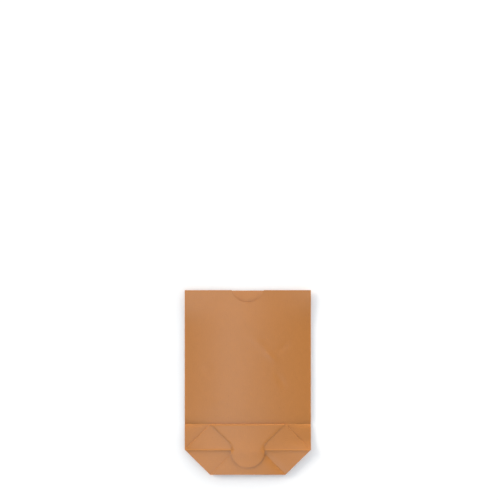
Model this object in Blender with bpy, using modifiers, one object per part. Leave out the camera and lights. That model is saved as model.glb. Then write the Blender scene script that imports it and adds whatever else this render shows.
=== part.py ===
"""A brown paper bag with a crossed bottom, folded flat as it is sold.

The bag is one sheet of kraft paper. It is rolled into a flat tube with a lapped seam down the
back. The lower end of the tube is opened out, its corners are tucked in, and two flaps are
folded over each other, which makes a six-sided bottom. The upper flap ends in a round tongue.

The sheet is made flat first, with its outline and its creases. Every point of it is then
carried to its place in the folded bag, and a Solidify modifier gives the paper its thickness.
The bag lies on its back: +Z is up, the mouth is at +Y and the bottom is at -Y.
"""

import math

import bmesh
import bpy
from mathutils import Vector

# Driving dimensions, in metres
BAG_WIDTH = 0.126
FLAT_LENGTH = 0.1845
BOTTOM_WIDTH = 0.0505
FLAP_DEPTH = 0.021
TONGUE_WIDTH = 0.0326
TONGUE_LENGTH = 0.0222
NOTCH_WIDTH = 0.032
NOTCH_DEPTH = 0.012
BACK_SETBACK = 0.0004
SEAM_LAP = 0.012

# The paper, and how closely its layers lie
PAPER = 0.00012
PITCH = 0.00032
GLUED_PITCH = 0.0002
FOLD_BAND = 0.0004
NEST = 0.0003
DRAPE = 0.0024

# How far the layers stand apart where nothing holds them down
POCKET_RISE = 0.0020
CREASE_SHARE = 0.10
CREASE_REACH = 0.004
POCKET_REACH = 0.030
BOTTOM_LIFT = 0.0003

# How far the flat bag's edges stand off the surface that it lies on
SIDE_LIFT = 0.0008
BOTTOM_EDGE_LIFT = 0.0014
MOUTH_LIFT = 0.0006
MOUTH_REACH = 0.040
FLAT_HALF = 0.026

# The spacing of the lines that let the paper curve
GRID_STEP = 0.0092
ARC_STEPS = 16

HALF_WIDTH = BAG_WIDTH / 2
HALF_BOTTOM = BOTTOM_WIDTH / 2
TUCK = HALF_BOTTOM + FLAP_DEPTH
CORNER_END = HALF_WIDTH - TUCK
BODY_LENGTH = FLAT_LENGTH - HALF_BOTTOM
CENTRE_Y = HALF_BOTTOM - FLAT_LENGTH / 2
SHEET_HALF = BAG_WIDTH + SEAM_LAP / 2
SLANT = math.sqrt(0.5)


def clear_scene():
    for obj in list(bpy.data.objects):
        bpy.data.objects.remove(obj, do_unlink=True)


def smooth(t):
    """Eases from 0 to 1 as t goes from 0 to 1."""
    t = min(1.0, max(0.0, t))
    return t * t * (3 - 2 * t)


def mix(a, b, share):
    return a + (b - a) * share


def fold_share(distance):
    """0 on one side of a crease and 1 on the other, turning round within the fold band."""
    t = min(1.0, max(-1.0, 2 * distance / FOLD_BAND))
    return (1 + math.sin(t * math.pi / 2)) / 2


def cover(*distances):
    """1 on a panel, easing to 0 over the drape. Each distance is how far outside one edge."""
    return smooth(1 - max(0.0, *distances) / DRAPE)


def lift(x, up):
    """How far the back stands off the surface below it, which it meets in the middle."""
    side = max(0.0, abs(x) - FLAT_HALF) / (HALF_WIDTH - FLAT_HALF)
    low = max(0.0, HALF_BOTTOM - up) / BOTTOM_WIDTH
    high = max(0.0, up - BODY_LENGTH + MOUTH_REACH) / MOUTH_REACH
    return SIDE_LIFT * side**2 + BOTTOM_EDGE_LIFT * low**2 + MOUTH_LIFT * high**2


def pocket(up):
    """The share of its full rise that the front has at this height above the centre line."""
    above = up - HALF_BOTTOM
    if above <= 0:
        return CREASE_SHARE * max(0.0, up) / HALF_BOTTOM
    near = 1 - math.exp(-above / CREASE_REACH)
    far = 1 - math.exp(-above / POCKET_REACH)
    return CREASE_SHARE + (1 - CREASE_SHARE) * (0.35 * near + 0.65 * far)


def gaps(x, up):
    """The height that each panel adds under the ones that lie on it."""
    side = HALF_WIDTH - abs(x)
    bulge = 1 - min(1.0, abs(x) / HALF_WIDTH) ** 2
    past_corner = side - TUCK
    over_corner = (abs(up) - side) * SLANT
    in_flap = (BOTTOM_WIDTH - abs(up) - side) * SLANT
    flap_end = up + HALF_BOTTOM - FLAP_DEPTH
    return {
        "back": PITCH + bulge * (GLUED_PITCH + POCKET_RISE * pocket(up)),
        "front": PITCH * cover(-up) + BOTTOM_LIFT * min(1.0, max(0.0, up) / HALF_BOTTOM),
        "turned": PITCH * cover(-up, up - HALF_BOTTOM, (up - side) * SLANT),
        "corner": PITCH * cover(abs(up) - HALF_BOTTOM, over_corner, past_corner),
        "tuck": PITCH * cover(in_flap, past_corner),
        "lower_flap": (PITCH + GLUED_PITCH * bulge) * cover(flap_end, in_flap),
        "upper_flap": 0.0,
    }


def folded(across, along):
    """Where a point of the flat sheet lies in the folded bag.

    across runs from the middle of the front, and along from the centre line of the bottom.
    """
    # How far the point is from the side fold, and how far past the centre line of the bottom
    edge = abs(HALF_WIDTH - abs(across))
    down = -along
    front = fold_share(HALF_WIDTH - abs(across))
    bottom = fold_share(down)

    # A tucked corner is folded along its diagonal, which swaps those two distances
    corner = fold_share((min(down, TUCK) - edge) * SLANT)
    inset = mix(edge, down, corner)
    out = mix(down, edge, corner)

    # Both flaps and the ends of the tucked corners are folded back over the bottom, and the
    # corners' folds lie just inside the flaps' folds
    flap = fold_share(out - HALF_BOTTOM)
    out = HALF_BOTTOM - abs(out - HALF_BOTTOM)
    out *= 1 - corner * NEST / HALF_BOTTOM

    # One end of the sheet is the inner lap of the seam, and lies inside the other
    x = math.copysign(1, across) * (HALF_WIDTH - inset)
    lap = GLUED_PITCH * cover(abs(x) - SEAM_LAP / 2) * (1 - front)
    inner = lap if across > 0 else 0.0
    behind = along * (1 - BACK_SETBACK / BODY_LENGTH) if front < 0.5 else along
    up = mix(behind, (2 * front - 1) * out * (1 - inner / HALF_BOTTOM), bottom)

    shares = {
        "back": (1 - front) * (1 - bottom * mix(flap, 1, corner)),
        "front": front * (1 - bottom),
        "turned": front * bottom * (1 - corner) * (1 - flap),
        "corner": bottom * corner * (1 - flap),
        "tuck": bottom * corner * flap,
        "lower_flap": (1 - front) * bottom * (1 - corner) * flap,
        "upper_flap": front * bottom * (1 - corner) * flap,
    }
    height = PAPER / 2 + lift(x, up)
    height += inner * shares["back"] + (lap - inner) * shares["lower_flap"]
    under = 0.0
    for panel, gap in gaps(x, up).items():
        height += shares[panel] * under
        under += gap
    return Vector((x, CENTRE_Y + up, height))


def arc(centre_y, radius, start, end):
    """Points on an arc about the middle of the front, with its two ends left out."""
    turn = (end - start) / ARC_STEPS
    angles = [start + i * turn for i in range(1, ARC_STEPS)]
    return [(radius * math.cos(a), centre_y + radius * math.sin(a)) for a in angles]


def outline():
    """The outline of the flat sheet, with the tongue below and the thumb notch above."""
    half_tongue = TONGUE_WIDTH / 2
    round_start = -TUCK - TONGUE_LENGTH + half_tongue
    points = [(-SHEET_HALF, -TUCK), (-half_tongue, -TUCK), (-half_tongue, round_start)]
    points += arc(round_start, half_tongue, math.pi, 2 * math.pi)
    points += [(half_tongue, round_start), (half_tongue, -TUCK), (SHEET_HALF, -TUCK)]
    notch_radius = ((NOTCH_WIDTH / 2) ** 2 + NOTCH_DEPTH**2) / (2 * NOTCH_DEPTH)
    notch_y = BODY_LENGTH - NOTCH_DEPTH + notch_radius
    dip = math.acos(NOTCH_WIDTH / 2 / notch_radius)
    points += [(SHEET_HALF, BODY_LENGTH), (NOTCH_WIDTH / 2, BODY_LENGTH)]
    points += arc(notch_y, notch_radius, -dip, dip - math.pi)
    points += [(-NOTCH_WIDTH / 2, BODY_LENGTH), (-SHEET_HALF, BODY_LENGTH)]
    return points


def score(bm, point, normal, low=-1.0, high=1.0, most=1.0, least=-1.0):
    """Scores a straight line across the sheet.

    It crosses only faces whose middle lies from low to high along the sheet and whose distance
    from the middle of the front is from least to most.
    """
    faces = []
    for face in bm.faces:
        middle = face.calc_center_median()
        if low < middle.y < high and least < abs(middle.x) < most:
            faces.append(face)
    edges = {edge for face in faces for edge in face.edges}
    verts = {vert for face in faces for vert in face.verts}
    bmesh.ops.bisect_plane(
        bm, geom=[*faces, *edges, *verts], plane_co=(*point, 0), plane_no=(*normal, 0), dist=1e-7
    )


def score_fold(bm, point, normal, **where):
    """Scores the four lines of one crease's band."""
    for share in (-0.5, -1 / 6, 1 / 6, 0.5):
        shift = FOLD_BAND * share
        score(bm, (point[0] + shift * normal[0], point[1] + shift * normal[1]), normal, **where)


def steps(low, high, step):
    """Even divisions from low to high, without the ends."""
    count = max(1, round((high - low) / step))
    return [low + (high - low) * i / count for i in range(1, count)]


def scored_sheet():
    """The flat sheet with the lines at which it folds and curves."""
    bm = bmesh.new()
    bm.faces.new([bm.verts.new((x, y, 0)) for x, y in outline()])

    score(bm, (0, -TUCK), (0, 1))
    for along in (0, -HALF_BOTTOM):
        score_fold(bm, (0, along), (0, 1))
    for hand in (-1, 1):
        side = hand * HALF_WIDTH
        score_fold(bm, (side, 0), (1, 0))
        corner = {"low": -TUCK, "high": FOLD_BAND}
        score_fold(bm, (side, 0), (-hand * SLANT, SLANT), most=HALF_WIDTH, **corner)
        score_fold(bm, (side, 0), (hand * SLANT, SLANT), least=HALF_WIDTH, **corner)
        for edge in (-HALF_BOTTOM, HALF_BOTTOM):
            tuck = side + hand * edge
            score_fold(bm, (tuck, 0), (1, 0), high=FOLD_BAND / 2 - HALF_BOTTOM)

    score_drapes(bm)
    score_body(bm)
    return bm


def score_drapes(bm):
    """Lines where a panel steps down past the end of one below it."""
    for hand in (-1, 1):
        for past in (0, DRAPE / 2, DRAPE):
            for x in (CORNER_END - past, BAG_WIDTH - CORNER_END + past):
                score(bm, (hand * x, 0), (1, 0), high=-HALF_BOTTOM)
            lap_edge = BAG_WIDTH - SEAM_LAP / 2 - past
            score(bm, (hand * lap_edge, 0), (1, 0), least=HALF_WIDTH)
            ramp = {"least": HALF_WIDTH, "most": HALF_WIDTH + HALF_BOTTOM}
            score(bm, (hand * (HALF_WIDTH + past), 0), (1, 0), high=0, **ramp)
    flap_end = FLAP_DEPTH - HALF_BOTTOM
    for up in (0, -DRAPE / 2, -DRAPE, flap_end + DRAPE, flap_end + DRAPE / 2, flap_end):
        score(bm, (0, up - BOTTOM_WIDTH), (0, 1), high=-HALF_BOTTOM, most=CORNER_END)


def score_body(bm):
    """A grid that lets every panel curve, closer where the front dips to its crease."""
    for column in steps(-SHEET_HALF, SHEET_HALF, GRID_STEP):
        score(bm, (column, 0), (1, 0))
    for reach in (0, 0.4, 1, 2, 3.5):
        row = HALF_BOTTOM + reach * CREASE_REACH
        score(bm, (0, row), (0, 1), low=0, most=HALF_WIDTH)
    for low, high in ((-TUCK, -HALF_BOTTOM), (-HALF_BOTTOM, 0), (0, HALF_BOTTOM)):
        for row in steps(low, high, GRID_STEP):
            score(bm, (0, row), (0, 1))
    for row in steps(HALF_BOTTOM + 3.5 * CREASE_REACH, BODY_LENGTH, 1.6 * GRID_STEP):
        score(bm, (0, row), (0, 1))


def paper_material():
    material = bpy.data.materials.new("brown_kraft_paper")
    material.use_nodes = True
    shader = material.node_tree.nodes["Principled BSDF"]
    shader.inputs["Base Color"].default_value = (0.485, 0.195, 0.058, 1)
    shader.inputs["Roughness"].default_value = 0.55
    material.diffuse_color = (0.485, 0.195, 0.058, 1)
    return material


def main():
    clear_scene()
    bm = scored_sheet()
    bmesh.ops.triangulate(bm, faces=bm.faces[:])
    print("triangles of the sheet", len(bm.faces))
    for vert in bm.verts:
        vert.co = folded(vert.co.x, vert.co.y)

    mesh = bpy.data.meshes.new("paper_bag")
    bm.to_mesh(mesh)
    bm.free()
    mesh.materials.append(paper_material())

    bag = bpy.data.objects.new("paper_bag", mesh)
    collection = bpy.data.collections.new("paper_bag")
    bpy.context.scene.collection.children.link(collection)
    collection.objects.link(bag)
    paper = bag.modifiers.new("paper", "SOLIDIFY")
    paper.thickness = PAPER
    paper.offset = 0
    paper.use_even_offset = False


main()
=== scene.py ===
# %% [markdown]
# # A brown paper bag, folded flat
# The real bag is one sheet of kraft paper. It is rolled into a tube, and one end of the tube is folded
# into a six-sided bottom that is glued shut. Here the same sheet is cut flat, scored along its creases and
# then folded by a rule, so that every edge, tuck and flap lands where the real paper's does.
# The solid model of the bag is loaded first. The folded sheet then takes its place in the picture.

# %% Load the solid model
import math

import bmesh
import bpy
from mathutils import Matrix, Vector


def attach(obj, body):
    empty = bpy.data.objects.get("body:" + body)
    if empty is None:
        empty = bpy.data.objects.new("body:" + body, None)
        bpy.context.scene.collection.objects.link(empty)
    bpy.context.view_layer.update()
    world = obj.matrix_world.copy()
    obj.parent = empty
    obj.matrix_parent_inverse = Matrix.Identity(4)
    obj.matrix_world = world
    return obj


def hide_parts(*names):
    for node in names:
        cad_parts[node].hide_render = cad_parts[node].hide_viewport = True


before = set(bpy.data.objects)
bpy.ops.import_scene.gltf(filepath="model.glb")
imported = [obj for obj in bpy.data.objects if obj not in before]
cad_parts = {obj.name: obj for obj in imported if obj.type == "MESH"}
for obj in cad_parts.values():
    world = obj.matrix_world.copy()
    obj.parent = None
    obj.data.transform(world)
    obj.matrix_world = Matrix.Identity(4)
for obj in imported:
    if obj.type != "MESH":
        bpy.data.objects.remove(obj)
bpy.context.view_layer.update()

# %% [markdown]
# ## The camera
# The photograph looks straight at the flat bag from far away, with no perspective to speak of. The bag
# lies on its back, so the camera hangs above it and looks straight down. A long lens, well back, keeps the
# sides of the bag parallel. One photograph pixel is one millimetre here, and the bag's middle lies a little
# left of the frame's middle and well below it.

# %% Hang the camera above the bag
FRAME_SIDE = 0.5
LENS = 135
SENSOR = 36
CAMERA_HEIGHT = FRAME_SIDE * LENS / SENSOR
AIM = (0.0022, 0.1324)
# The level at which a pixel is a millimetre, near the bag's front
SCALE_LEVEL = 0.002

camera_data = bpy.data.cameras.new("camera")
camera_data.lens = LENS
camera_data.sensor_width = SENSOR
camera = bpy.data.objects.new("camera", camera_data)
camera.location = (*AIM, CAMERA_HEIGHT + SCALE_LEVEL)
bpy.context.scene.collection.objects.link(camera)
bpy.context.scene.camera = camera
print("camera height in metres:", round(CAMERA_HEIGHT, 3))

# %% [markdown]
# ## The bag's sizes
# These are the sizes that a bag maker sets: how wide and long the flat tube is, how wide the bottom opens,
# how deep the flaps are, and how much of the upper flap is left as a tongue. Everything else follows from
# them. A corner is tucked in by half the bottom's width and a flap's depth, so the two tucks leave a gap
# between them about as wide as the tongue. The paper turns round at a crease within the fold band, and
# comes down over the end of a layer within the drape.

# %% Name the bag's sizes
BAG_WIDTH = 0.126
FLAT_LENGTH = 0.1845
BOTTOM_WIDTH = 0.0505
FLAP_DEPTH = 0.021
TONGUE_WIDTH = 0.0338
TONGUE_ROOT = 0.0326
TONGUE_LENGTH = 0.0222
NOTCH_WIDTH = 0.032
NOTCH_DEPTH = 0.012
SEAM_LAP = 0.012
PAPER = 0.0001
FOLD_BAND = 0.0004
DRAPE = 0.0024

HALF_WIDTH = BAG_WIDTH / 2
HALF_BOTTOM = BOTTOM_WIDTH / 2
TUCK = HALF_BOTTOM + FLAP_DEPTH
CORNER_END = HALF_WIDTH - TUCK
BODY_LENGTH = FLAT_LENGTH - HALF_BOTTOM
CENTRE_Y = HALF_BOTTOM - FLAT_LENGTH / 2
SHEET_HALF = BAG_WIDTH + SEAM_LAP / 2
SLANT = math.sqrt(0.5)

# %% [markdown]
# ## The flat sheet
# The sheet starts as one face with the outline that the maker's knife leaves: straight sides, the tongue at
# the lower edge and the round thumb notch at the upper edge, both in the middle of what becomes the
# front. Positions on it are measured from the middle of the front, and from the line that becomes the
# middle of the bottom.

# %% Cut the outline
ARC_STEPS = 40


def arc(centre_y, radius, start, end):
    """Points on an arc about the middle of the front, with its two ends left out."""
    turn = (end - start) / ARC_STEPS
    angles = [start + i * turn for i in range(1, ARC_STEPS)]
    return [(radius * math.cos(a), centre_y + radius * math.sin(a)) for a in angles]


def sheet_outline():
    """The outline of the flat sheet. The tongue widens a little below its root."""
    half_tongue = TONGUE_WIDTH / 2
    half_root = TONGUE_ROOT / 2
    flare = -TUCK - half_tongue + half_root
    round_start = -TUCK - TONGUE_LENGTH + half_tongue
    points = [(-SHEET_HALF, -TUCK), (-half_root, -TUCK), (-half_tongue, flare), (-half_tongue, round_start)]
    points += arc(round_start, half_tongue, math.pi, 2 * math.pi)
    points += [(half_tongue, round_start), (half_tongue, flare), (half_root, -TUCK), (SHEET_HALF, -TUCK)]
    notch_radius = ((NOTCH_WIDTH / 2) ** 2 + NOTCH_DEPTH**2) / (2 * NOTCH_DEPTH)
    notch_y = BODY_LENGTH - NOTCH_DEPTH + notch_radius
    dip = math.acos(NOTCH_WIDTH / 2 / notch_radius)
    points += [(SHEET_HALF, BODY_LENGTH), (NOTCH_WIDTH / 2, BODY_LENGTH)]
    points += arc(notch_y, notch_radius, -dip, dip - math.pi)
    points += [(-NOTCH_WIDTH / 2, BODY_LENGTH), (-SHEET_HALF, BODY_LENGTH)]
    return points


blank = bmesh.new()
blank.faces.new([blank.verts.new((x, y, 0)) for x, y in sheet_outline()])
sheet_area = sum(face.calc_area() for face in blank.faces)
print("sheet area in square metres:", round(sheet_area, 5))

# %% [markdown]
# ## Scoring
# Paper folds sharply only where it is creased. A mesh is the same: it can turn only along its edges. So the
# sheet is scored across, as a maker's creasing wheel would do, with a narrow band of close lines at each
# crease. One more line on each side keeps the paper flat right up to the band. Plain lines 2 mm apart
# everywhere else let the paper curve. The bisect operator makes each line. The bands lie where the real
# creases do: two side folds, the bottom's centre line on the front, the two flap folds, and a diagonal and
# a short fold at each tucked corner.

# %% Score one line, or the band of one crease
# In widths of the fold band, from its crease
BAND_LINES = (-1.2, -0.5, -0.3, -0.1, 0.1, 0.3, 0.5, 1.2)


def score(point, normal, low=None, high=None, least=None, most=None):
    """Scores a straight line, across the whole sheet or across the faces within the limits."""
    limits = [low, high, least, most]
    faces = blank.faces[:]
    if any(limit is not None for limit in limits):
        low, least = (-1 if limit is None else limit for limit in (low, least))
        high, most = (1 if limit is None else limit for limit in (high, most))
        middles = [(face, face.calc_center_median()) for face in faces]
        faces = [face for face, at in middles if low < at.y < high and least < abs(at.x) < most]
        edges = list({edge for face in faces for edge in face.edges})
        verts = list({vert for face in faces for vert in face.verts})
    else:
        edges, verts = blank.edges[:], blank.verts[:]
    bmesh.ops.bisect_plane(
        blank, geom=faces + edges + verts, plane_co=(*point, 0), plane_no=(*normal, 0), dist=1e-7
    )


def score_fold(point, normal, **limits):
    """Scores the lines of one crease's band."""
    for share in BAND_LINES:
        shift = FOLD_BAND * share
        score((point[0] + shift * normal[0], point[1] + shift * normal[1]), normal, **limits)


def steps(low, high, step):
    """Even divisions from low to high, without the ends."""
    count = max(1, round((high - low) / step))
    return [low + (high - low) * i / count for i in range(1, count)]


# %% Score the creases
score((0, -TUCK), (0, 1))
for along in (0, -HALF_BOTTOM):
    score_fold((0, along), (0, 1))
for hand in (-1, 1):
    side = hand * HALF_WIDTH
    score_fold((side, 0), (1, 0))
    corner = {"low": -TUCK, "high": FOLD_BAND}
    score_fold((side, 0), (-hand * SLANT, SLANT), most=HALF_WIDTH, **corner)
    score_fold((side, 0), (hand * SLANT, SLANT), least=HALF_WIDTH, **corner)
    for edge in (-HALF_BOTTOM, HALF_BOTTOM):
        score_fold((side + hand * edge, 0), (1, 0), high=FOLD_BAND / 2 - HALF_BOTTOM)
print("faces after the creases:", len(blank.faces))

# %% Score the lines where one layer steps over another, and beside the side folds
BESIDE_FOLD = (0.001, 0.0018, 0.003)
back_corner = {"least": HALF_WIDTH, "most": HALF_WIDTH + HALF_BOTTOM}
for hand in (-1, 1):
    for past in (0, DRAPE / 3, 2 * DRAPE / 3, DRAPE):
        for x in (CORNER_END - past, BAG_WIDTH - CORNER_END + past):
            score((hand * x, 0), (1, 0), high=-HALF_BOTTOM)
        score((hand * (BAG_WIDTH - SEAM_LAP / 2 - past), 0), (1, 0), least=HALF_WIDTH)
        score((hand * (HALF_WIDTH + past), 0), (1, 0), high=0, **back_corner)
    for reach in BESIDE_FOLD:
        for side in (HALF_WIDTH - reach, HALF_WIDTH + reach):
            score((hand * side, 0), (1, 0), high=0)
print("faces after the steps:", len(blank.faces))

# %% Score the fine lines, closer together at the crease above the folded bottom
FINE = 0.002
BESIDE_CREASE = (0.0005, 0.001, 0.0015, 0.003)
for column in steps(-SHEET_HALF, SHEET_HALF, FINE):
    score((column, 0), (1, 0))
row_ends = (-TUCK - TONGUE_LENGTH, -TUCK, -HALF_BOTTOM, 0, BODY_LENGTH)
for low, high in zip(row_ends, row_ends[1:]):
    for row in steps(low, high, FINE):
        score((0, row), (0, 1))
for reach in BESIDE_CREASE:
    for row in (HALF_BOTTOM + reach, HALF_BOTTOM - reach):
        score((0, row), (0, 1), low=0, most=HALF_WIDTH)
bmesh.ops.triangulate(blank, faces=[face for face in blank.faces if len(face.verts) > 4])
print("faces of the scored sheet:", len(blank.faces))

# %% Keep the sheet as a mesh
sheet_mesh = bpy.data.meshes.new("scored_sheet")
blank.to_mesh(sheet_mesh)
blank.free()
paper_bag = bpy.data.objects.new("folded_paper", sheet_mesh)
bpy.context.scene.collection.objects.link(paper_bag)

# %% [markdown]
# ## Formulas as Geometry Nodes
# The folding follows a rule, so Geometry Nodes do it: they work out each point's place from where it is on
# the flat sheet, and the bag's sizes are the node group's inputs. A long formula takes many Math
# nodes. To keep it readable, a small class stands for a value in the tree: each + - * / on it adds one
# Math node and links it.

# %% A value in a node tree
class Amount:
    """A value in a node tree. Arithmetic on it adds Math nodes."""

    def __init__(self, tree, socket):
        self.tree = tree
        self.socket = socket

    def __add__(self, other):
        return reckon(self.tree, "ADD", self, other)

    def __radd__(self, other):
        return reckon(self.tree, "ADD", other, self)

    def __sub__(self, other):
        return reckon(self.tree, "SUBTRACT", self, other)

    def __rsub__(self, other):
        return reckon(self.tree, "SUBTRACT", other, self)

    def __mul__(self, other):
        return reckon(self.tree, "MULTIPLY", self, other)

    def __rmul__(self, other):
        return reckon(self.tree, "MULTIPLY", other, self)

    def __truediv__(self, other):
        return reckon(self.tree, "DIVIDE", self, other)

    def __neg__(self):
        return reckon(self.tree, "MULTIPLY", self, -1)


def plug(tree, socket, value):
    """Links a value to a socket, or sets the socket to a number."""
    if isinstance(value, Amount):
        tree.links.new(value.socket, socket)
    elif value is not None:
        socket.default_value = value


def add_node(tree, kind, **settings):
    """Adds a node with its settings, in rows that can be read in the editor."""
    node = tree.nodes.new(kind)
    count = len(tree.nodes)
    node.location = (200 * (count % 24), -180 * (count // 24))
    for name, setting in settings.items():
        setattr(node, name, setting)
    return node


def reckon(tree, operation, *values):
    """One Math node on these values."""
    node = add_node(tree, "ShaderNodeMath", operation=operation)
    for socket, value in zip(node.inputs, values):
        plug(tree, socket, value)
    return Amount(tree, node.outputs[0])


def size_of(value):
    return reckon(value.tree, "ABSOLUTE", value)


def larger(value, other):
    return reckon(value.tree, "MAXIMUM", value, other)


def smaller(value, other):
    return reckon(value.tree, "MINIMUM", value, other)


def ease(value):
    """Eases from 0 to 1 as the value goes from 0 to 1."""
    node = add_node(value.tree, "ShaderNodeMapRange", interpolation_type="SMOOTHSTEP")
    plug(value.tree, node.inputs["Value"], value)
    return Amount(value.tree, node.outputs["Result"])


def mix(a, b, share):
    return a + (b - a) * share


# %% [markdown]
# ## How one fold turns
# On one side of a crease the paper lies below, on the other it has come back above. Between them it turns
# round within a band under half a millimetre wide. The same small rule serves every crease, so it is a node
# group of its own: from the distance past the crease it gives how far the paper has turned, from 0 to 1.
# The half sine makes the turn round instead of a sharp step.

# %% Node group: the turn of a fold
SOCKET_KINDS = {"geometry": "NodeSocketGeometry", "paper": "NodeSocketMaterial"}


def new_group(name, inputs, outputs):
    """A Geometry Nodes group with these named sockets, and its inputs as amounts.

    An input comes with its default number, or with the name of its kind. An output comes with what it
    gives, which is a number unless it is the name of a kind.
    """
    tree = bpy.data.node_groups.new(name, "GeometryNodeTree")
    for label, default in inputs.items():
        kind = SOCKET_KINDS.get(default, "NodeSocketFloat")
        socket = tree.interface.new_socket(name=label, in_out="INPUT", socket_type=kind)
        if default not in SOCKET_KINDS:
            socket.default_value = default
    for label, result in outputs.items():
        kind = SOCKET_KINDS.get(result, "NodeSocketFloat")
        tree.interface.new_socket(name=label, in_out="OUTPUT", socket_type=kind)
    source = add_node(tree, "NodeGroupInput")
    return tree, {label: Amount(tree, source.outputs[label]) for label in inputs}


def finish_group(tree, results):
    """Links the results to the group's outputs."""
    sink = add_node(tree, "NodeGroupOutput")
    for label, result in results.items():
        plug(tree, sink.inputs[label], result)


def use_group(tree, group, output, **values):
    """Adds a group node. Underscores in the names stand for spaces."""
    node = add_node(tree, "GeometryNodeGroup", node_tree=group)
    for label, value in values.items():
        plug(tree, node.inputs[label.replace("_", " ")], value)
    return Amount(tree, node.outputs[output])


turn_group, given = new_group("Turn of a fold", {"Distance": 0.0, "Band": FOLD_BAND}, {"Turned": "share"})
half_bands = smaller(larger(given["Distance"] * 2 / given["Band"], -1), 1)
finish_group(turn_group, {"Turned": reckon(turn_group, "SINE", half_bands * (math.pi / 2)) * 0.5 + 0.5})
print("turn of a fold:", len(turn_group.nodes), "nodes")

# %% [markdown]
# ## How a layer shows through the one above
# Where the lower layer ends, the upper one steps down, but paper is stiff, so it takes a couple of
# millimetres to come down. This group gives 1 over a layer, and eases to 0 over that drape beyond its edge.

# %% Node group: the cover of a layer
cover_group, given = new_group("Cover of a layer", {"Outside": 0.0, "Drape": DRAPE}, {"Cover": "share"})
finish_group(cover_group, {"Cover": ease(1 - larger(given["Outside"], 0) / given["Drape"])})


def cover_of(tree, drape, *outside):
    """1 on a layer, easing to 0 beyond it. Each amount is how far outside one of its edges."""
    furthest = outside[0]
    for amount in outside[1:]:
        furthest = larger(furthest, amount)
    return use_group(tree, cover_group, "Cover", Outside=furthest, Drape=drape)


# %% [markdown]
# ## A soft crease from handling
# Bags are pulled from a bundle, so the front has a few faint creases that are not folds. Each is a shallow
# line, raised or sunk, that fades out at both ends. A small group makes one, and the folding tree uses it
# several times.

# %% Node group: a soft crease
dent_inputs = {
    "Across": 0.0, "Up": 0.0, "Middle X": 0.0, "Middle Y": 0.0, "Angle": 0.0,
    "Length": 0.03, "Width": 0.003, "Height": 0.0001,
}
dent_group, given = new_group("Soft crease", dent_inputs, {"Rise": "metres"})
dx = given["Across"] - given["Middle X"]
dy = given["Up"] - given["Middle Y"]
cosine = reckon(dent_group, "COSINE", given["Angle"])
sine = reckon(dent_group, "SINE", given["Angle"])
off_line = (dy * cosine - dx * sine) / given["Width"]
off_end = size_of(dx * cosine + dy * sine) * 2 / given["Length"]
profile = reckon(dent_group, "EXPONENT", -(off_line * off_line)) * ease(1 - off_end)
finish_group(dent_group, {"Rise": profile * given["Height"]})
print("soft crease:", len(dent_group.nodes), "nodes")

# %% [markdown]
# ## The folding rule
# Folding the bag takes four moves, each a reflection:
# 1. the sheet turns round at the two side folds, which makes the tube;
# 2. on the front, what lies below the bottom's centre line turns up over the front;
# 3. in each corner the paper is squashed flat along its diagonal, which swaps two distances: the one from
#    the side fold, and the one past the centre line;
# 4. both flaps, and the corners' ends with them, fold back over the bottom.
# The height then comes from the layers that lie under each point.
# The group's inputs are the bag's sizes, then how closely its layers lie, how far the front stands off the
# back, and how far each edge stands off the table.

# %% Start the folding tree
fold_inputs = {
    "Sheet": "geometry",
    "Bag width": BAG_WIDTH, "Bottom width": BOTTOM_WIDTH, "Flap depth": FLAP_DEPTH,
    "Bag length": FLAT_LENGTH, "Seam lap": SEAM_LAP, "Paper thickness": PAPER,
    "Layer pitch": 0.00034, "Pressed pitch": 0.00025, "Glued pitch": 0.00014,
    "Fold band": FOLD_BAND, "Nest": 0.0003, "Drape": DRAPE, "Back setback": 0.0004,
    "Pocket rise": 0.0012, "Crease depth": 0.00015, "Right crease": 0.0008,
    "Crease rise": 0.0004, "Centre ridge": 0.00034, "Corner lift": 0.0007,
    "Bottom lift": 0.0003, "Side lift": 0.0019, "Bottom edge lift": 0.0015,
    "Mouth lift": 0.0024, "Tongue lift": 0.0004, "Unevenness": 0.0003,
    "Outside paper": "paper",
}
folding, given = new_group("Fold the bag", fold_inputs, {"Bag": "geometry"})
half_width = given["Bag width"] / 2
half_bottom = given["Bottom width"] / 2
body_length = given["Bag length"] - half_bottom
pitch = given["Layer pitch"]

place = add_node(folding, "ShaderNodeSeparateXYZ")
position = add_node(folding, "GeometryNodeInputPosition")
folding.links.new(position.outputs[0], place.inputs[0])
across = Amount(folding, place.outputs["X"])
along = Amount(folding, place.outputs["Y"])
hand = reckon(folding, "SIGN", across)
on_right = larger(hand, 0)


def turned(distance):
    """How far the paper has turned, this far past a crease."""
    return use_group(folding, turn_group, "Turned", Distance=distance, Band=given["Fold band"])


# %% Fold the tube and open out the bottom
from_side = half_width - size_of(across)
edge = size_of(from_side)
down = -along
front = turned(from_side)
bottom = turned(down)

# %% Squash the corners, but not the tongue beyond them
HAIR = 0.000001
tuck = half_bottom + given["Flap depth"]
past_diagonal = (smaller(down, tuck) - edge) * SLANT
squashed = turned(past_diagonal) * reckon(folding, "LESS_THAN", down, tuck + HAIR)
inset = mix(edge, down, squashed)
out = mix(down, edge, squashed)

# %% Fold the flaps
past_flap = out - half_bottom
flapped = turned(past_flap)
out = half_bottom - size_of(past_flap)
out = out * (1 - squashed * given["Nest"] / half_bottom)

# %% Put each point in the plane of the folded bag
LAP_PITCH = 1.1
x = hand * (half_width - inset)
side = half_width - size_of(x)
in_lap = cover_of(folding, given["Drape"], size_of(x) - given["Seam lap"] / 2)
lap = given["Paper thickness"] * LAP_PITCH * in_lap * (1 - front)
inner_lap = lap * on_right
behind = along * (1 - (1 - front) * given["Back setback"] / body_length)
up = mix(behind, (2 * front - 1) * out * (1 - inner_lap / half_bottom), bottom)
print("nodes so far:", len(folding.nodes))

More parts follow.
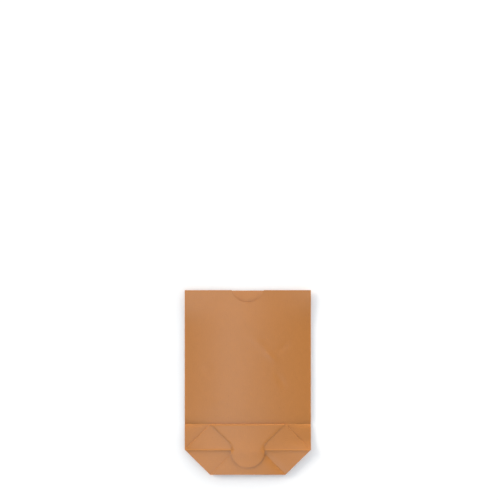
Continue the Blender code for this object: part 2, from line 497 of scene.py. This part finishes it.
# %% [markdown]
# ## The heights of the layers
# From the table upwards the layers are the back, the front, the part of the front that is turned up, the
# squashed corners, their folded ends, the lower flap, and the upper flap with its tongue. Each adds its
# own gap under those above it, but only where it reaches, so a gap is a pitch times the layer's cover.
# The front stands off the back in the middle like a very flat cushion, which closes at the mouth. It dips
# to a crease across the bag just above the folded bottom, and the layers folded over it bridge half of
# that dip. On the right the cushion also sinks along the slanting edge of the lower flap.

# %% How far each point is from the sides, the crease and the mouth
FLAT_HALF = 0.026
MOUTH_REACH = 0.04
CREASE_REACH = 0.0022
# What lies over an edge bends just past it
JUST_PAST = 0.0004


def fall(distance, reach):
    """1 at no distance, falling off towards 0 over the reach."""
    return reckon(folding, "EXPONENT", -distance / reach)


bulge = 1 - smaller(size_of(x) / half_width, 1) * smaller(size_of(x) / half_width, 1)
beside = larger(size_of(x) - FLAT_HALF, 0) / (half_width - FLAT_HALF)
side_lift = given["Side lift"] * beside * beside
above_crease = larger(up - half_bottom, 0)
from_crease = size_of(up - half_bottom - JUST_PAST)
past_centre = -JUST_PAST - up
at_mouth = larger(up - body_length + MOUTH_REACH, 0) / MOUTH_REACH
open_share = 1 - ease(at_mouth)
height_up = size_of(up)
in_flap = (given["Bottom width"] - height_up - side) * SLANT
flap_end = up + half_bottom - given["Flap depth"]

# %% How far the front stands off the back
# The cushion's three parts: up to the crease, and a steep and a gentle climb above it
LOW_SHARE = 0.10
STEEP_SHARE = 0.15
STEEP_REACH = 0.004
GENTLE_SHARE = 0.75
GENTLE_REACH = 0.03
RIGHT_CREASE_REACH = 0.003
RIGHT_CREASE_START = 0.010

upper_share = smaller(larger(up, 0) / half_bottom, 1)
steep_climb = 1 - fall(above_crease, STEEP_REACH)
gentle_climb = 1 - fall(above_crease, GENTLE_REACH)
pocket = upper_share * LOW_SHARE + steep_climb * STEEP_SHARE + gentle_climb * GENTLE_SHARE
dip = given["Crease depth"] * fall(from_crease, CREASE_REACH)
crease = given["Crease depth"] - dip
right_crease = given["Right crease"] * fall(size_of(in_flap), RIGHT_CREASE_REACH)
right_crease = right_crease * ease(-up / RIGHT_CREASE_START) * on_right
rise = bulge * given["Pocket rise"] * pocket + crease - right_crease + given["Side lift"] - side_lift

# %% The gap that each layer adds
MOUTH_CLOSING = 0.35
DIP_BRIDGED = 0.5
FLAP_END_DRAPE = 0.016


def covered(*outside):
    """The cover of a layer with the usual drape."""
    return cover_of(folding, given["Drape"], *outside)


# The paste makes the lower flap thicker in the middle
flap_pitch = pitch + given["Glued pitch"] * bulge
gap = {
    "back": pitch * (1 - ease(at_mouth) * MOUTH_CLOSING) + open_share * rise,
    "front": pitch * covered(past_centre) + given["Bottom lift"] * upper_share + dip * DIP_BRIDGED,
    "turned": pitch * covered(past_centre, up - half_bottom, (up - side) * SLANT),
    "corner": given["Pressed pitch"] * covered(height_up - half_bottom, (height_up - side) * SLANT),
    "tuck": given["Pressed pitch"] * covered(in_flap),
    "lower_flap": flap_pitch * cover_of(folding, FLAP_END_DRAPE, flap_end) * covered(in_flap),
}

# %% How much of a point belongs to each layer
on_bottom = bottom * (1 - squashed)
share = {
    "back": (1 - front) * (1 - bottom * mix(flapped, 1, squashed)),
    "front": front * (1 - bottom),
    "turned": front * on_bottom * (1 - flapped),
    "corner": bottom * squashed * (1 - flapped),
    "tuck": bottom * squashed * flapped,
    "lower_flap": (1 - front) * on_bottom * flapped,
    "upper_flap": front * on_bottom * flapped,
}

# %% [markdown]
# ## Paper that has been handled
# A bag lies flat only in its middle. Its sides, its folded bottom and its mouth stand a little off the
# table, which is what lets light and shadow in under the edges. The sides come down where the crease above
# the folded bottom meets them. The bottom's lower corners stand a little higher, most of all on the right.
# The sheet is also never quite even, so a soft noise lifts all layers together near the edges, and a second
# one moves the front alone. The dents of handling are on the front only.

# %% Soft noise over the folded bag
def noise_at(scale, seed):
    """Soft noise from -1 to 1 over the folded bag. scale is in lumps to the metre."""
    where = add_node(folding, "ShaderNodeCombineXYZ")
    plug(folding, where.inputs["X"], x)
    plug(folding, where.inputs["Y"], up)
    plug(folding, where.inputs["Z"], float(seed))
    noise = add_node(folding, "ShaderNodeTexNoise")
    noise.inputs["Scale"].default_value = scale
    noise.inputs["Detail"].default_value = 1.0
    folding.links.new(where.outputs[0], noise.inputs["Vector"])
    return (Amount(folding, noise.outputs[0]) - 0.5) * 2


# %% The lift of the edges and the corners
# The share of the sides' lift that is gone at the crease, and how soon the folded bottom rises below it
CREASE_HOLD = 0.8
CREASE_RISE_REACH = 0.004
# Where the lower corners start to lift, how soon they have, and how the right one differs
CORNER_TOP = 0.001
CORNER_SPAN = 0.014
RIGHT_CORNER_HIGHER = 0.009
RIGHT_CORNER_MORE = 2
EDGE_UNEVENNESS = 0.8

below = larger(half_bottom - up, 0) / given["Bottom width"]
below_crease = larger(half_bottom + JUST_PAST - up, 0)
lift = side_lift * (1 - fall(from_crease, CREASE_REACH) * CREASE_HOLD)
lift = lift + given["Crease rise"] * beside * (1 - fall(below_crease, CREASE_RISE_REACH))
lift = lift + given["Bottom edge lift"] * ease(below) + given["Mouth lift"] * ease(at_mouth)
corner_lift = given["Corner lift"] * (1 + on_right * RIGHT_CORNER_MORE)
corner_top = CORNER_TOP + on_right * RIGHT_CORNER_HIGHER
lift = lift + corner_lift * beside * beside * ease((corner_top - up) / CORNER_SPAN)
near_edge = smaller(beside + below + at_mouth, 1)
lift = lift + given["Unevenness"] * noise_at(scale=14, seed=3) * near_edge * EDGE_UNEVENNESS

# %% The dents and the unevenness of the front
FRONT_UNEVENNESS = 0.7
FRONT_START = 0.01
# Middle across and up from the bag's middle, angle in radians, length, width, and height, below 0 if sunk
DENTS = (
    (0.022, 0.027, -0.75, 0.030, 0.0028, 0.00036),
    (0.033, 0.002, -0.95, 0.026, 0.0024, -0.00028),
    (0.010, 0.040, -0.55, 0.026, 0.0032, 0.00024),
    (0.036, 0.036, 0.60, 0.022, 0.0024, -0.00026),
    (-0.026, -0.018, 0.20, 0.026, 0.0034, 0.00016),
    (-0.040, 0.014, 0.10, 0.020, 0.0034, -0.00014),
)
dents = 0.0
for middle_x, middle_y, angle, length, width, dent_height in DENTS:
    dent = use_group(
        folding, dent_group, "Rise", Across=x, Up=up, Middle_X=middle_x, Middle_Y=middle_y - CENTRE_Y,
        Angle=angle, Length=length, Width=width, Height=dent_height,
    )
    dents = dent + dents
uneven_front = given["Unevenness"] * noise_at(scale=22, seed=8) * FRONT_UNEVENNESS * bulge * open_share
front_only = (uneven_front + dents) * ease(above_crease / FRONT_START)
print("nodes with the unevenness:", len(folding.nodes))

# %% Add up the height
# The upper flap comes down slowly where the two layers under it end at the centre line
CENTRE_DRAPE = 0.012
# The squashed corners rise to a low ridge along the centre line, which ends before the side folds
RIDGE_REACH = 0.006
RIDGE_EDGE = 0.0008
RIDGE_ENDS = 0.008

tongue_tip = larger(-up, 0) / given["Flap depth"]
height = given["Paper thickness"] / 2 + lift
height = height + inner_lap * share["back"] + (lap - inner_lap) * share["lower_flap"]
height = height + front_only * share["front"]
height = height + given["Tongue lift"] * tongue_tip * (2 - tongue_tip) * share["upper_flap"]
slow_drape = cover_of(folding, CENTRE_DRAPE, past_centre) - covered(past_centre)
height = height + pitch * 2 * slow_drape * share["upper_flap"]
ridge = fall(larger(-past_centre, 0), RIDGE_REACH) * fall(larger(past_centre, 0), RIDGE_EDGE)
ridge = ridge * ease(side / RIDGE_ENDS)
height = height + given["Centre ridge"] * ridge * share["corner"]
under = 0.0
for layer in share:
    if layer != "back":
        height = height + share[layer] * under
    if layer in gap:
        under = gap[layer] + under

# %% [markdown]
# ## What the finish needs to know
# The fibres and the faint ribs of the paper run along the sheet, and they turn with it at every fold, so
# the material needs each point's place on the flat sheet. Folds are pressed hard, which breaks the surface
# and leaves a slightly paler, duller line, so the nearness to a fold is kept too, as wear. Along the crease
# above the folded bottom and along the bottom's centre line, that paler line is made stronger as a painted
# highlight where the crease catches light. Both are stored on the mesh as attributes.

# %% Work out the wear of the folds, with a painted highlight on two crests
# How strong each fold's wear and painted highlight is, how far it reaches, and how far its middle lies from
# the fold
SIDE_WITHIN = 0.0011
CENTRE_WEAR = 0.5
CREST_WEAR_AND_HIGHLIGHT = 2.2
CREST_WITHIN = 0.0007
CREST_BELOW = 0.0003
CORNER_CREST_WEAR_AND_HIGHLIGHT = 2.4
CORNER_WITHIN = 0.0008
CORNER_ABOVE = 0.0005


def near_fold(distance, within):
    """1 at a fold, falling evenly to 0 this far from it."""
    return larger(1 - size_of(distance) / within, 0)


wear_and_highlight = near_fold(from_side, SIDE_WITHIN) * (1 - bottom)
wear_and_highlight = larger(wear_and_highlight, near_fold(along, SIDE_WITHIN) * front * CENTRE_WEAR)
# Along the crease above the folded bottom, a paler line: partly wear, partly a painted highlight
crest = near_fold(up - half_bottom + CREST_BELOW, CREST_WITHIN) * (share["front"] + bottom)
wear_and_highlight = larger(wear_and_highlight, crest * CREST_WEAR_AND_HIGHLIGHT)
# Along the bottom's centre line, a paler line: partly wear, partly a painted highlight
corner_crest = near_fold(past_centre + CORNER_ABOVE, CORNER_WITHIN) * bottom * squashed
wear_and_highlight = larger(wear_and_highlight, corner_crest * CORNER_CREST_WEAR_AND_HIGHLIGHT)

# %% Store the place on the sheet, and the wear with its painted highlight
def store(geometry, name, value, kind="FLOAT"):
    """Keeps a value at each point of the sheet, as an attribute with this name."""
    node = add_node(folding, "GeometryNodeStoreNamedAttribute", data_type=kind, domain="POINT")
    node.inputs["Name"].default_value = name
    plug(folding, node.inputs["Geometry"], geometry)
    plug(folding, node.inputs["Value"], value)
    return Amount(folding, node.outputs["Geometry"])


bag = store(given["Sheet"], "sheet_place", Amount(folding, position.outputs[0]), "FLOAT_VECTOR")
bag = store(bag, "fold_wear_and_highlight", wear_and_highlight)

# %% Move the points and end the tree
folded_place = add_node(folding, "ShaderNodeCombineXYZ")
plug(folding, folded_place.inputs["X"], x)
plug(folding, folded_place.inputs["Y"], up + CENTRE_Y)
plug(folding, folded_place.inputs["Z"], height)
mover = add_node(folding, "GeometryNodeSetPosition")
plug(folding, mover.inputs["Geometry"], bag)
folding.links.new(folded_place.outputs[0], mover.inputs["Position"])
realize = add_node(folding, "GeometryNodeRealizeInstances")
folding.links.new(mover.outputs[0], realize.inputs[0])
painter = add_node(folding, "GeometryNodeSetMaterial")
folding.links.new(realize.outputs[0], painter.inputs["Geometry"])
plug(folding, painter.inputs["Material"], given["Outside paper"])
finish_group(folding, {"Bag": Amount(folding, painter.outputs[0])})
print("nodes of the folding tree:", len(folding.nodes))

# %% [markdown]
# ## Kraft paper
# Brown kraft paper is unbleached wood fibre, rolled smooth and glazed on its outer side by a hot cylinder.
# Close up it shows long fibres that lie mostly along the web, a cloudy look where the fibres bunched, a few
# dark and pale flecks, and very faint ribs. The web runs along the bag's tube. One function makes the
# paper, once glazed for the outside and once dull for the inside and the cut edges. Its pattern reads the
# place on the flat sheet, so the fibres turn with the paper at each fold.

# %% Make the kraft paper
KRAFT = (0.406, 0.152, 0.027)
# The inside paper is lighter than the outside; part of that is painted light, which lifts the shade inside
# the thumb notch
KRAFT_INSIDE = (0.480, 0.195, 0.060)
# The patterns' scales across the web and along it, in lumps to the metre
FIBRES = (1500, 260)
CLOUDS = (170, 102)
FLECKS = (900, 420)
GRAIN = 0.6
RIB_PITCH = 0.0021
RIB_WAVER = 2
# The fleck pattern's values above and below which a fleck shows, and how soft its edge is
DARK_FLECK = 0.70
PALE_FLECK = 0.31
FLECK_EDGE = 0.06
# The roughness outside and inside, the gloss, and how far the relief stands out, in metres
GLAZED = 0.345
DULL = 0.6
GLOSS = 0.35
BUMP_HEIGHT = 0.00002
# How much each feature lightens or darkens the paper, stands out of it, and dulls it
# The wear tone pales the worn folds, and on two crests it is a painted highlight as well
TONE = {"fibres": 0.14, "clouds": 0.10, "ribs": 0.006, "pale": 0.07, "dark": 0.13, "wear_and_highlight": 0.08}
RELIEF = {"clouds": 1.5, "ribs": 0.12, "wear_and_highlight": 0.2}
DULLNESS = {"fibres": 0.25, "wear_and_highlight": 0.12}


def pattern(tree, place, scales, seed, detail):
    """Noise from 0 to 1 with its own scale along each direction of the sheet."""
    stretch = add_node(tree, "ShaderNodeMapping")
    stretch.inputs["Scale"].default_value = (scales[0], scales[1], 1)
    stretch.inputs["Location"].default_value = (seed, seed, seed)
    noise = add_node(tree, "ShaderNodeTexNoise")
    noise.inputs["Scale"].default_value = 1
    noise.inputs["Detail"].default_value = detail
    noise.inputs["Roughness"].default_value = GRAIN
    tree.links.new(place, stretch.inputs["Vector"])
    tree.links.new(stretch.outputs[0], noise.inputs["Vector"])
    return Amount(tree, noise.outputs[0])


def kraft(material, base, glaze):
    """Kraft paper of this base colour. glaze is the roughness of its surface."""
    tree = material.node_tree
    shader = tree.nodes["Principled BSDF"]
    sheet_place = add_node(tree, "ShaderNodeAttribute", attribute_name="sheet_place")
    place = sheet_place.outputs["Vector"]
    parts = add_node(tree, "ShaderNodeSeparateXYZ")
    tree.links.new(place, parts.inputs[0])
    wear_and_highlight_attribute = add_node(tree, "ShaderNodeAttribute", attribute_name="fold_wear_and_highlight")
    wear_and_highlight = Amount(tree, wear_and_highlight_attribute.outputs["Fac"])

    fibres = pattern(tree, place, FIBRES, seed=1, detail=4) - 0.5
    clouds = pattern(tree, place, CLOUDS, seed=5, detail=3) - 0.5
    fleck = pattern(tree, place, FLECKS, seed=9, detail=1)
    dark = ease((fleck - DARK_FLECK) / FLECK_EDGE)
    pale = ease((PALE_FLECK - fleck) / FLECK_EDGE)
    across_sheet = Amount(tree, parts.outputs["X"])
    ribs = reckon(tree, "SINE", across_sheet * (2 * math.pi / RIB_PITCH) + clouds * RIB_WAVER)

    tone = fibres * TONE["fibres"] + clouds * TONE["clouds"] + ribs * TONE["ribs"]
    # The wear term pales the worn folds, and paints a highlight along two crests
    tone = tone + pale * TONE["pale"] - dark * TONE["dark"] + wear_and_highlight * TONE["wear_and_highlight"] + 1
    colour = add_node(tree, "ShaderNodeVectorMath", operation="SCALE")
    colour.inputs[0].default_value = base
    plug(tree, colour.inputs["Scale"], tone)
    tree.links.new(colour.outputs[0], shader.inputs["Base Color"])
    dulled = glaze + fibres * DULLNESS["fibres"] + wear_and_highlight * DULLNESS["wear_and_highlight"]
    plug(tree, shader.inputs["Roughness"], dulled)
    shader.inputs["Specular IOR Level"].default_value = GLOSS

    bump = add_node(tree, "ShaderNodeBump")
    bump.inputs["Strength"].default_value = 1.0
    bump.inputs["Distance"].default_value = BUMP_HEIGHT
    relief = fibres + clouds * RELIEF["clouds"] + ribs * RELIEF["ribs"] + wear_and_highlight * RELIEF["wear_and_highlight"]
    plug(tree, bump.inputs["Height"], relief)
    tree.links.new(bump.outputs[0], shader.inputs["Normal"])


outside_paper = bpy.data.materials.new("kraft outside")
inside_paper = bpy.data.materials.new("kraft inside")
for material, base, glaze in ((outside_paper, KRAFT, GLAZED), (inside_paper, KRAFT_INSIDE, DULL)):
    material.use_nodes = True
    kraft(material, base, glaze)
print("nodes of the paper:", len(outside_paper.node_tree.nodes))

# %% [markdown]
# ## Fold the bag
# The tree goes on the sheet as a modifier. Its inputs are set before it first runs, and the folded result
# is kept as a plain mesh. A second modifier then gives the paper its thickness, with the dull paper on the
# inside and at the cut edges.

# %% Fold the sheet
fold_modifier = paper_bag.modifiers.new("fold the bag", "NODES")
fold_modifier.node_group = folding
sockets = [item for item in folding.interface.items_tree if item.in_out == "INPUT"]
socket_names = {item.name: item.identifier for item in sockets}
fold_modifier[socket_names["Outside paper"]] = outside_paper
for label, value in fold_inputs.items():
    if not isinstance(value, str):
        fold_modifier[socket_names[label]] = float(value)
paper_bag.update_tag()
graph = bpy.context.evaluated_depsgraph_get()
folded_mesh = bpy.data.meshes.new_from_object(paper_bag.evaluated_get(graph))
paper_bag.modifiers.clear()
paper_bag.data = folded_mesh
print("faces:", len(folded_mesh.polygons), "attributes:", [a.name for a in folded_mesh.attributes])

# %% Give the paper its thickness
SHARP_ANGLE = 50
thickness = paper_bag.modifiers.new("paper thickness", "SOLIDIFY")
thickness.thickness = PAPER
thickness.offset = 0
thickness.material_offset = 1
thickness.material_offset_rim = 1
paper_bag.data.materials.append(inside_paper)
paper_bag.data.shade_smooth()
graph = bpy.context.evaluated_depsgraph_get()
thick_mesh = bpy.data.meshes.new_from_object(paper_bag.evaluated_get(graph))
paper_bag.modifiers.clear()
paper_bag.data = thick_mesh
thick_mesh.set_sharp_from_angle(angle=math.radians(SHARP_ANGLE))
print("faces of the finished bag:", len(thick_mesh.polygons))
lows = [min(v.co[i] for v in thick_mesh.vertices) for i in range(3)]
highs = [max(v.co[i] for v in thick_mesh.vertices) for i in range(3)]
print("finished bag, in metres:", [round(high - low, 5) for low, high in zip(lows, highs)])
print("lowest point:", round(lows[2], 5))

# %% Tie the bag to the solid model
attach(paper_bag, "root")
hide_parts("paper_bag")

# %% [markdown]
# ## The floor
# The bag was photographed on plain white, which shows nothing but the bag's own soft shadow. So the floor
# is one white sheet with no gloss, and the light on it is set so that it is just white where no shadow
# falls.

# %% Lay the floor
FLOOR_SIDE = 8
FLOOR_WHITE = 0.93
bpy.ops.mesh.primitive_plane_add(size=FLOOR_SIDE, location=(0, 0, 0))
floor = bpy.context.object
floor.name = "floor"
floor_material = bpy.data.materials.new("white floor")
floor_material.use_nodes = True
floor_shader = floor_material.node_tree.nodes["Principled BSDF"]
floor_shader.inputs["Base Color"].default_value = (FLOOR_WHITE, FLOOR_WHITE, FLOOR_WHITE, 1)
floor_shader.inputs["Roughness"].default_value = 1.0
floor_shader.inputs["Specular IOR Level"].default_value = 0.0
floor.data.materials.append(floor_material)

# %% [markdown]
# ## The room's light
# A flat bag is lit well by light from low down on all sides: it brings out every fold, and gives the thin
# bag a wide, soft shadow. So the room is brighter near the horizon than overhead, and brightest beyond the
# bag's mouth and to its right. The low light is warm and the light overhead cool, so the shadows, which
# only the light overhead reaches, come out slightly blue. The brightness is worked out from the direction
# alone.

# %% Light the room
OVERHEAD = 0.57
LOW_BAND = 6.0
TOWARDS_MOUTH = 0.6
TOWARDS_RIGHT = 0.5
WARM = (1.12, 1.0, 0.86)
COOL = (0.87, 1.0, 1.15)

world = bpy.data.worlds.new("white room")
world.use_nodes = True
bpy.context.scene.world = world
room = world.node_tree
direction = add_node(room, "ShaderNodeTexCoord")
parts = add_node(room, "ShaderNodeSeparateXYZ")
room.links.new(direction.outputs["Generated"], parts.inputs[0])
toward_x, toward_y, toward_z = (Amount(room, parts.outputs[axis]) for axis in "XYZ")
low = smaller(larger(1 - toward_z, 0), 1)
band = low * low * low * low
lopsided = 1 + toward_y * TOWARDS_MOUTH + toward_x * TOWARDS_RIGHT
low_light = band * lopsided * LOW_BAND
room_colour = add_node(room, "ShaderNodeCombineColor")
for channel, warm, cool in zip(("Red", "Green", "Blue"), WARM, COOL):
    plug(room, room_colour.inputs[channel], low_light * warm + OVERHEAD * cool)
room.links.new(room_colour.outputs[0], room.nodes["Background"].inputs["Color"])

# %% [markdown]
# ## The window and the strip light
# A broad window low on the left, towards the mouth, gives the folds a light side and a shaded side. The
# photograph also has a soft upright sheen a little left of the middle. That is the glaze mirroring a long
# lamp, so a strip light hangs there that only the gloss sees.

# %% Hang the lights
WINDOW_POWER = 1.6
WINDOW_FROM = (-0.90, 0.42, 0.45)
WINDOW_SPREAD = 24
STRIP_POWER = 1.3
STRIP_FROM = (-0.08, 0.0, 1.0)
STRIP_DISTANCE = 0.3
STRIP_WIDTH = 0.03
STRIP_LENGTH = 1.2


def hang_light(name, kind, energy, direction, distance=0.0):
    """Adds a light that shines on the bag from this direction."""
    data = bpy.data.lights.new(name, kind)
    data.energy = energy
    light = bpy.data.objects.new(name, data)
    light.location = Vector(direction).normalized() * distance
    light.rotation_euler = Vector(direction).to_track_quat("Z", "Y").to_euler()
    bpy.context.scene.collection.objects.link(light)
    return light


window = hang_light("window", "SUN", WINDOW_POWER, WINDOW_FROM)
window.data.angle = math.radians(WINDOW_SPREAD)
window.data.color = WARM
strip = hang_light("strip light", "AREA", STRIP_POWER, STRIP_FROM, STRIP_DISTANCE)
strip.rotation_euler = (0, 0, 0)
strip.data.shape = "RECTANGLE"
strip.data.size = STRIP_WIDTH
strip.data.size_y = STRIP_LENGTH
strip.visible_diffuse = False
strip.visible_camera = False
strip.data.use_shadow = False

bpy.context.scene.view_settings.view_transform = "Standard"
